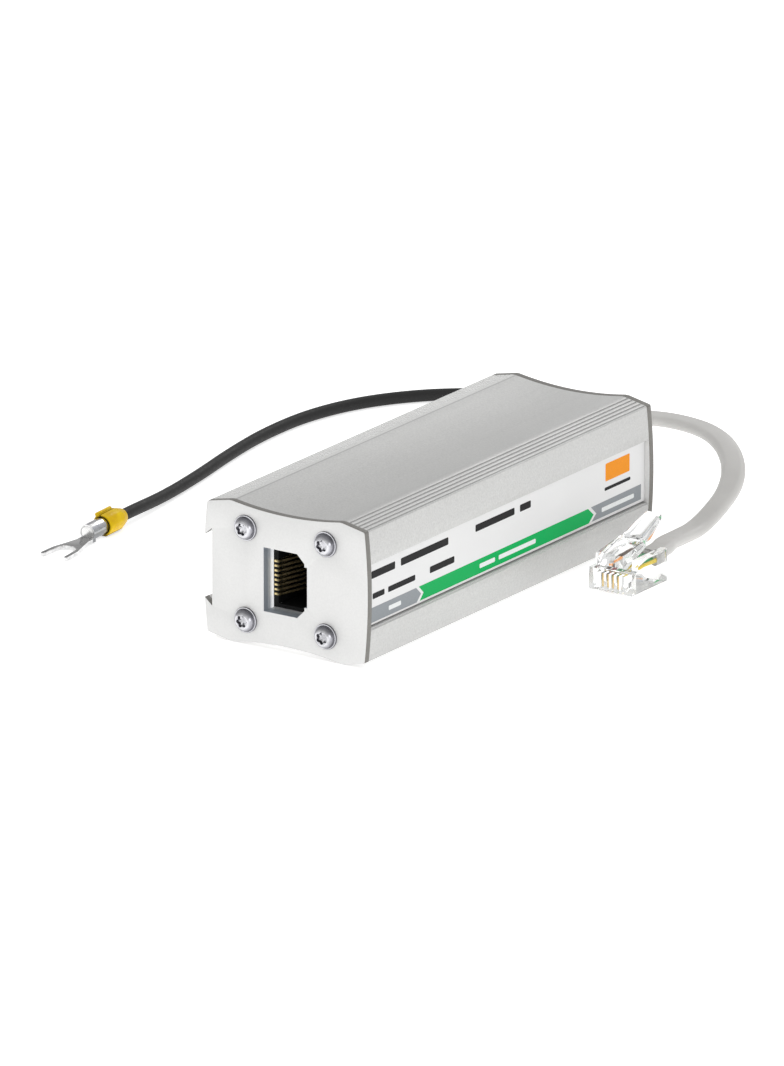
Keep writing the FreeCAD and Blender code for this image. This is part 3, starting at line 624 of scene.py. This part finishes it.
labelPrint = {
    "face": 18.9,         # the strip's face, mm across
    "film": 0.02,         # thickness of a coat
    "sunk": 0.01,         # how far the ink reaches into the strip
    "corner": 0.25,
    "rough": 0.38,
}
labelInks = {
    "greenArrow": {
        "level": 0.4, "tint": (0.0, 1.0, 0.24), "coats": 1,
        "fields": [[(-32.3, 12.05), (-30.6, 10.4), (-31.95, 8.95), (30.1, 9.0), (31.9, 10.45),
                    (29.85, 12.2)]],
    },
    "greyBands": {
        "level": 0.3, "tint": (0.93, 1.0, 1.06), "coats": 1,
        "fields": [
            [(-50.9, 8.9), (-50.9, 12.05), (-33.3, 12.05), (-31.5, 10.4), (-33.1, 8.9)],
            [(30.9, 12.25), (32.9, 10.45), (31.2, 9.05), (49.6, 9.1), (49.6, 12.4)],
        ],
    },
    "darkBars": {
        "level": 0.012, "tint": (1.0, 1.0, 1.05), "coats": 1,
        "bars": [(-49.4, -40.9, 18.2, 19.8), (-38.8, -21.6, 18.2, 19.8),
                 (-49.0, -44.7, 13.8, 15.0), (-43.4, -33.6, 13.8, 15.0),
                 (-28.3, -19.4, 13.8, 15.2), (-11.7, 2.6, 18.2, 19.7), (4.6, 8.6, 18.2, 19.7),
                 (36.0, 45.6, 14.4, 15.1)],
    },
    "paleBars": {
        "level": 0.8, "tint": (0.98, 1.0, 1.0), "coats": 2,       # over the bands and the arrow
        "bars": [(-43.2, -38.8, 9.95, 10.9), (-10.2, -4.6, 10.05, 11.0), (-3.2, 10.4, 10.05, 11.0),
                 (34.9, 46.9, 10.15, 11.1)],
    },
    "orangeField": {
        "level": 0.85, "tint": (1.0, 0.34, 0.01), "coats": 1,
        "bars": [(36.3, 45.3, 16.4, 20.2)],
    },
}


def printedFilm(name, level, tint):
    # ink on the label's film, with a faint screen grain
    n = Nodes(name)
    n.set(Specular_IOR_Level=0.1)
    grain = n.noise(2600, 2, 0.6)
    n.colour(n.ramp(grain, [(0.3, shade(level * 0.95, tint)), (0.7, shade(level * 1.03, tint))]))
    n.rough(n.span(grain, labelPrint["rough"] - 0.04, labelPrint["rough"] + 0.04))
    n.bump(grain, 0.000003)
    return n.material


def barOutline(y0, y1, z0, z1):
    # rectangle with small rounded corners
    r = labelPrint["corner"]
    points = []
    for y, z, start in ((y1 - r, z0 + r, -90), (y1 - r, z1 - r, 0),
                        (y0 + r, z1 - r, 90), (y0 + r, z0 + r, 180)):
        for step in range(4):
            angle = math.radians(start + 30 * step)
            points.append((y + r * math.cos(angle), z + r * math.sin(angle)))
    return points


def addLabelPrint():
    s = labelPrint
    for name, ink in labelInks.items():
        outlines = ink.get("fields", []) + [barOutline(*bar) for bar in ink.get("bars", [])]
        build = bmesh.new()
        for outline in outlines:
            addSlab(build, outline, s["face"] - s["sunk"], s["face"] + ink["coats"] * s["film"])
        film = printedFilm(name + "Ink", ink["level"], ink["tint"])
        piece = newObject(name, finishedMesh(build, name), film)


# Plug

plugShell = {
    "middle": 32.7,       # mm across
    "front": 17.2,
    "width": 10.4,
    "length": 13.4,
    "height": 7.0,
    "chamfer": 0.3,
    "nose": (4.75, 2.5),  # its height and length
    "deck": [(2.5, 4.75), (3.0, 4.75), (7.5, 5.95), (13.5, 5.95), (13.5, 7.1), (2.5, 7.1)],
    "rail": 1.5,
    "root": (1.1, 4.95, 0.76, 3.22),   # place along and up, radius and half width
    "rootSides": 18,
    "slots": [-3.125, -1.875, -0.625, 0.625, 1.875, 3.125],
    "slot": (0.62, 3.44, 4.0),         # width, depth and top
    "past": 0.5,                       # how far the slots' tools stand out of the nose
    "edge": 0.14,
    "tint": (0.975, 0.982, 0.98),
    "rough": 0.025,
    "bend": 1.24,                      # how strongly the plastic bends light
}


def clearPlastic():
    # clear moulding with faint flow lines, painted grey rims where the surface turns from the view,
    # and a faint painted glow
    s = plugShell
    n = Nodes("clearMoulding")
    # a faint painted glow lifts the whole moulding
    n.set(Transmission_Weight=1.0, IOR=s["bend"], Specular_IOR_Level=0.8,
          Emission_Color=(1, 1, 1, 1), Emission_Strength=0.02)
    flow = n.noise(700, 2, 0.5, (1.0, 0.3, 1.0))
    # painted shade where the surface turns away from the view
    rim = n.add("ShaderNodeLayerWeight")
    rim.inputs["Blend"].default_value = 0.5
    body = n.ramp(rim.outputs["Facing"], [(0.5, s["tint"]), (0.88, shade(0.55, s["tint"]))])
    n.colour(n.blend("MULTIPLY", 1.0, body, n.ramp(flow, [(0.3, shade(0.97)), (0.7, shade(1.0))])))
    n.rough(n.span(flow, s["rough"] * 0.6, s["rough"] * 1.5))
    n.bump(flow, 0.000003)
    return n.material


def onPlug(points):
    # places behind the plug's front become places along Y
    return [(plugShell["front"] + v, z) for v, z in points]


def addPlugShell(plastic):
    s = plugShell
    noseHeight, noseLength = s["nose"]
    chamfer, past = s["chamfer"], s["past"]
    outline = [(chamfer, 0), (s["length"], 0), (s["length"], s["height"]),
               (noseLength, s["height"]), (noseLength, noseHeight), (0, noseHeight), (0, chamfer)]
    half = s["width"] / 2
    shell = slabPiece("plugShell", onPlug(outline), s["middle"] - half, s["middle"] + half)
    inner = half - s["rail"]
    tools = [slabPiece("deckCut", onPlug(s["deck"]), s["middle"] - inner, s["middle"] + inner)]
    rootV, rootZ, radius, rootHalf = s["root"]
    turns = [math.radians(360 / s["rootSides"] * step) for step in range(s["rootSides"])]
    circle = [(rootV + radius * math.cos(turn), rootZ + radius * math.sin(turn)) for turn in turns]
    tools.append(slabPiece("rootCut", onPlug(circle), s["middle"] - rootHalf,
                           s["middle"] + rootHalf))
    width, depth, top = s["slot"]
    hollow = onPlug([(-past, -past), (depth, -past), (depth, top), (-past, top)])
    for number, offset in enumerate(s["slots"]):
        tools.append(slabPiece("slotCut%d" % number, hollow, s["middle"] + offset - width / 2,
                               s["middle"] + offset + width / 2))
    cutAway(shell, tools)
    shell.data.materials.clear()
    shell.data.materials.append(plastic)
    softEdges(shell, s["edge"])
    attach(shell, "protector")
    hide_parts("plug_body")


contactBlades = {
    "offsets": [-1.875, -0.625, 0.625, 1.875],
    "lip": (0.3, 0.95, 0.52),       # from, to and width of the part that meets the socket's springs
    "web": (0.95, 3.38, 0.3),
    "low": 0.9,
    "high": 3.72,
    "spike": (2.5, 0.5),            # where the web narrows towards its end, and by how much
    "edge": 0.05,
}


def addContactBlades():
    s = contactBlades
    low, high = s["low"], s["high"]
    lipStart, lipEnd, lipWidth = s["lip"]
    webStart, webEnd, webWidth = s["web"]
    turn, rise = s["spike"]
    lip = onPlug([(lipStart, low), (lipEnd, low), (lipEnd, high), (lipStart, high)])
    web = onPlug([(webStart, low), (turn, low), (webEnd, low + rise), (webEnd, high - rise),
                  (turn, high), (webStart, high)])
    build = bmesh.new()
    for offset in s["offsets"]:
        middle = plugShell["middle"] + offset
        addSlab(build, lip, middle - lipWidth / 2, middle + lipWidth / 2)
        addSlab(build, web, middle - webWidth / 2, middle + webWidth / 2)
    gold = wornMetal("goldBlade", 0.95, (1.0, 0.72, 0.28), 0.3, metallic=0.5)
    blades = newObject("contactBlades", finishedMesh(build, "contactBlades"), gold)
    softEdges(blades, s["edge"])
    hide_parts("plug_contacts")


# Finishes of the CAD nodes

housingFinish = {
    "level": 0.73, "tint": (1.0, 1.0, 0.985), "metallic": 0.6, "rough": 0.48, "grain": 2600,
    "bump": 0.00002, "spread": 0.1, "lines": 0.8,
    "width": (-0.020, 0.020),           # metres across
    # place from left to right, painted brightness
    "across": [(0.0, 1.0), (0.152, 1.0), (0.165, 0.98), (0.172, 0.62), (0.18, 0.86), (0.5, 0.8),
               (0.825, 0.74), (0.85, 0.8), (1.0, 0.8)],
    # painted shade in the grooves: how dark, and where it fades in across
    "grooveShade": 0.22, "grooveShadeFrom": (-0.012, -0.010),      # metres across, none to all
}
plateFinish = {
    "level": 0.755, "tint": (1.0, 1.0, 0.99), "metallic": 0.35, "rough": 0.5, "grain": 2600,
    "bump": 0.00001, "spread": 0.03, "lines": 0.0,
    "edge": 0.2, "edgeTint": (1.0, 0.97, 0.9), "milled": (0.4, 0.44, 0.49),
    "cutOut": (-0.011, 0.011),          # metres across, round the cut-out
}
plasticFinishes = {
    "label_strip": {"name": "labelFilm", "level": 0.74, "grain": 2600, "bump": 0.000004,
                    "change": 0.02, "patch": 60},
    "jack_housing": {"name": "blackMoulding", "level": 0.007, "rough": 0.55, "specular": 0.15},
    "circuit_board": {"name": "solderMask", "level": 0.1, "tint": (0.2, 1.0, 0.4)},
    "gas_arresters": {"name": "arresterCeramic", "level": 0.8, "tint": (1.0, 0.97, 0.9),
                      "rough": 0.3},
    "suppressor_diodes": {"name": "diodeCase", "level": 0.03, "rough": 0.4},
    "series_resistors": {"name": "resistorGlaze", "level": 0.5, "tint": (0.7, 0.85, 1.0)},
    "flat_cable_bushing": {"name": "bushingRubber", "level": 0.03, "rough": 0.6},
    "black_core": {"name": "blackCore", "level": 0.02},
    "red_core": {"name": "redCore", "level": 0.65, "tint": (1.0, 0.02, 0.02)},
    "green_core": {"name": "greenCore", "level": 0.45, "tint": (0.02, 1.0, 0.25)},
    "yellow_core": {"name": "yellowCore", "level": 0.9, "tint": (1.0, 0.75, 0.04)},
}
edgeWidths = {"housing_profile": 0.05, "line_end_plate": 0.06, "cable_end_plate": 0.06,
              "jack_shield": 0.05, "plug_latch": 0.14, "fork_lug": 0.12, "lug_sleeve": 0.1,
              "flat_cable_bushing": 0.15, "earth_lead_bushing": 0.15,
              "earth_conductor": 0.15}


def sleeveVinyl():
    # soft vinyl, slightly mottled where it was squeezed, with painted shade where it and nearby
    # parts hem each other in
    n = Nodes("yellowSleeve")
    n.set(Specular_IOR_Level=0.18)
    skin = n.noise(1200, 2)
    mottle = n.ramp(n.noise(420, 2), [(0.3, (0.68, 0.42, 0.0)), (0.6, (0.8, 0.54, 0.0)),
                                      (0.75, (0.84, 0.62, 0.005))])
    # painted shade in the sleeve's hollows and in the gap round the lug's barrel
    n.colour(n.blend("MULTIPLY", 1.0, mottle, n.corners(0.0009, 0.04, own=False)))
    n.rough(n.span(skin, 0.36, 0.5))
    n.bump(skin, 0.000012)
    return n.material


shieldFinish = {
    "wall": 0.0022,        # depth of the tunnel's mouth, metres
    # painted brightness along the mouth's wall, up to a painted highlight strip
    "tones": [(0.0, (0.5, 0.54, 0.58)), (0.5, (0.7, 0.74, 0.78)), (0.62, (0.95, 0.96, 0.97)),
              (1.0, (0.97, 0.97, 0.97))],
    # painted shade on the faces turned up or down
    "sill": 0.75,
    "glow": (0.05, 0.55),  # painted glow, standing in for light thrown back at the mouth and behind it
}


def shieldSheet():
    # nickel plated sheet; the wall beside the socket's mouth is painted paler towards the jack, up
    # to a painted highlight strip, with painted shade on its up and down faces and a painted glow
    # on its side walls
    s = shieldFinish
    n = Nodes("nickelSheet")
    n.set(Metallic=0.35, Emission_Color=(0.96, 0.98, 1.0, 1))
    inward = n.along("Y", socketEnd, socketEnd + s["wall"])
    grain = n.noise(1800, 3, 0.6)
    fine = n.ramp(grain, [(0.3, shade(0.9)), (0.7, shade(1.0))])
    wall = n.blend("MULTIPLY", 1.0, n.ramp(inward, s["tones"]), fine)
    sill = n.ramp(n.facing("Z", 0.4, 0.6), [(0.0, shade(1.0)), (1.0, shade(s["sill"]))])
    n.colour(n.blend("MULTIPLY", 1.0, wall, sill))
    # painted glow on the mouth's side walls
    low, high = s["glow"]
    glow = n.add("ShaderNodeMath", operation="MULTIPLY")
    n.link(n.span(inward, low, high, 0.3, 0.7), glow.inputs[0])
    n.link(n.facing("X", 0.4, 0.6), glow.inputs[1])
    n.link(glow.outputs["Value"], n.shader.inputs["Emission Strength"])
    n.rough(n.span(grain, 0.4, 0.55))
    n.bump(grain, 0.00001)
    return n.material


wireFinish = {
    "front": (0.0021, 0.0025),         # the front bends, behind the socket's end of the profile
    # painted glint at the front bends, fading to painted shade deeper in
    "tones": [(0.0, (1.0, 0.8, 0.4)), (0.5, (0.62, 0.46, 0.18)), (1.0, (0.26, 0.2, 0.1))],
    "bend": (-0.0052, -0.0037),        # metres across, painted shade past the front bends
    "shadePastBend": [(0.4, shade(1.0)), (0.65, shade(0.25)), (0.9, shade(0.3)), (1.0, shade(0.85))],
}


def goldWire():
    # painted glint at the front bends, painted shade deeper along the springs
    s = wireFinish
    n = Nodes("goldWire")
    n.set(Metallic=0.6)
    fine = n.noise(1500, 2, 0.6)
    start, end = s["front"]
    tone = n.ramp(n.along("Y", socketEnd + start, socketEnd + end), s["tones"])
    left, right = s["bend"]
    # painted shade past the front bends
    tone = n.blend("MULTIPLY", 1.0, tone, n.ramp(n.along("X", left, right), s["shadePastBend"]))
    n.colour(n.blend("MULTIPLY", 1.0, tone, n.ramp(fine, [(0.3, shade(0.85)), (0.7, shade(1.0))])))
    n.rough(n.span(fine, 0.24, 0.36))
    n.bump(fine, 0.000005)
    return n.material


lugFinish = {
    "tongue": (-0.0285, -0.0165),      # from the fork's tips to its root, along Y
    "root": (-0.0158, -0.0154),        # where the tongue meets the barrel
    # painted shading and highlight round the barrel, from its left to its right
    "barrel": [(0.15, shade(0.5)), (0.3, (0.42, 0.4, 0.45)), (0.56, (0.42, 0.42, 0.43)),
               (0.64, shade(0.97)), (0.78, shade(0.95)), (0.85, (0.62, 0.63, 0.68)),
               (1.0, (0.4, 0.41, 0.42))],
    # painted shade on the tongue's flats, darkest at the tips; its sides and cut faces lighter
    "flat": [(0.0, shade(0.12)), (0.45, shade(0.3)), (1.0, shade(0.42))],
    "edges": [(0.3, shade(0.62)), (0.6, shade(0.78))],
}


def tinPlate():
    # bright tin over copper; painted shading and highlight round the barrel, painted shade beneath
    # it, and the stamped flats painted darker than the drawn edges
    s = lugFinish
    n = Nodes("tinPlate")
    n.set(Metallic=1.0)
    fine = n.noise(1200, 3, 0.6)
    barrel = n.ramp(n.span(n.slant("X"), 0.0, 1.0, -1.0, 1.0), s["barrel"])
    # painted shade on the barrel's underside
    shadeBelow = n.ramp(n.slant("Z"), [(0.0, shade(0.6)), (0.05, shade(1.0))])
    barrel = n.blend("MULTIPLY", 1.0, barrel, shadeBelow)
    tip, neck = s["tongue"]
    rootStart, rootEnd = s["root"]
    edges = n.ramp(fine, s["edges"])
    # the tongue's flats painted darker than its sides, darker towards the tips
    flat = n.ramp(n.along("Y", tip, neck), s["flat"])
    tongue = n.blend("MIX", n.facing("Z", 0.55, 0.8), edges, flat)
    tone = n.blend("MIX", n.along("Y", rootStart, rootEnd), tongue, barrel)
    cut = n.span(n.slant("Y"), 1.0, 0.0, -0.75, -0.5)
    tone = n.blend("MIX", cut, tone, edges)
    scuffs = n.ramp(fine, [(0.3, shade(0.88)), (0.65, shade(1.0))])
    n.colour(n.blend("MULTIPLY", 1.0, tone, scuffs))
    n.rough(n.span(fine, 0.14, 0.26))
    n.bump(fine, 0.000008)
    return n.material


def dressNodes(plastic):
    finishes = {node: mouldedPlastic(**s) for node, s in plasticFinishes.items()}
    finishes.update({
        "housing_profile": blastedAluminium("blastedHousing", housingFinish),
        "line_end_plate": blastedAluminium("blastedPlate", plateFinish),
        "jack_shield": shieldSheet(),
        "jack_contacts": goldWire(),
        "earth_conductor": wornMetal("tinnedStrands", 0.8, (1.0, 1.0, 0.99), 0.3),
        "fork_lug": tinPlate(),
        "lug_sleeve": sleeveVinyl(),
        "plug_latch": plastic,
    })
    finishes["cable_end_plate"] = finishes["line_end_plate"]
    finishes["earth_lead_bushing"] = finishes["flat_cable_bushing"]
    for name, finish in finishes.items():
        mesh = nodes[name].data
        mesh.materials.clear()
        mesh.materials.append(finish)
    for name, width in edgeWidths.items():
        softEdges(nodes[name], width)


addCamera()
print("camera set")
clearMoulding = clearPlastic()
addPlugShell(clearMoulding)
addContactBlades()
print("plug made")
addFlatCable()
addEarthLead()
print("cords laid")
zinc = screwMetal()
for screwPiece, screwNode, plateFace in panScrews["sides"]:
    addScrews(screwPiece, screwNode, plateFace, zinc)
addLabelPrint()
print("screws and print added")
addLights()
addFloor()
print("studio set")
dressNodes(clearMoulding)
print("nodes dressed")
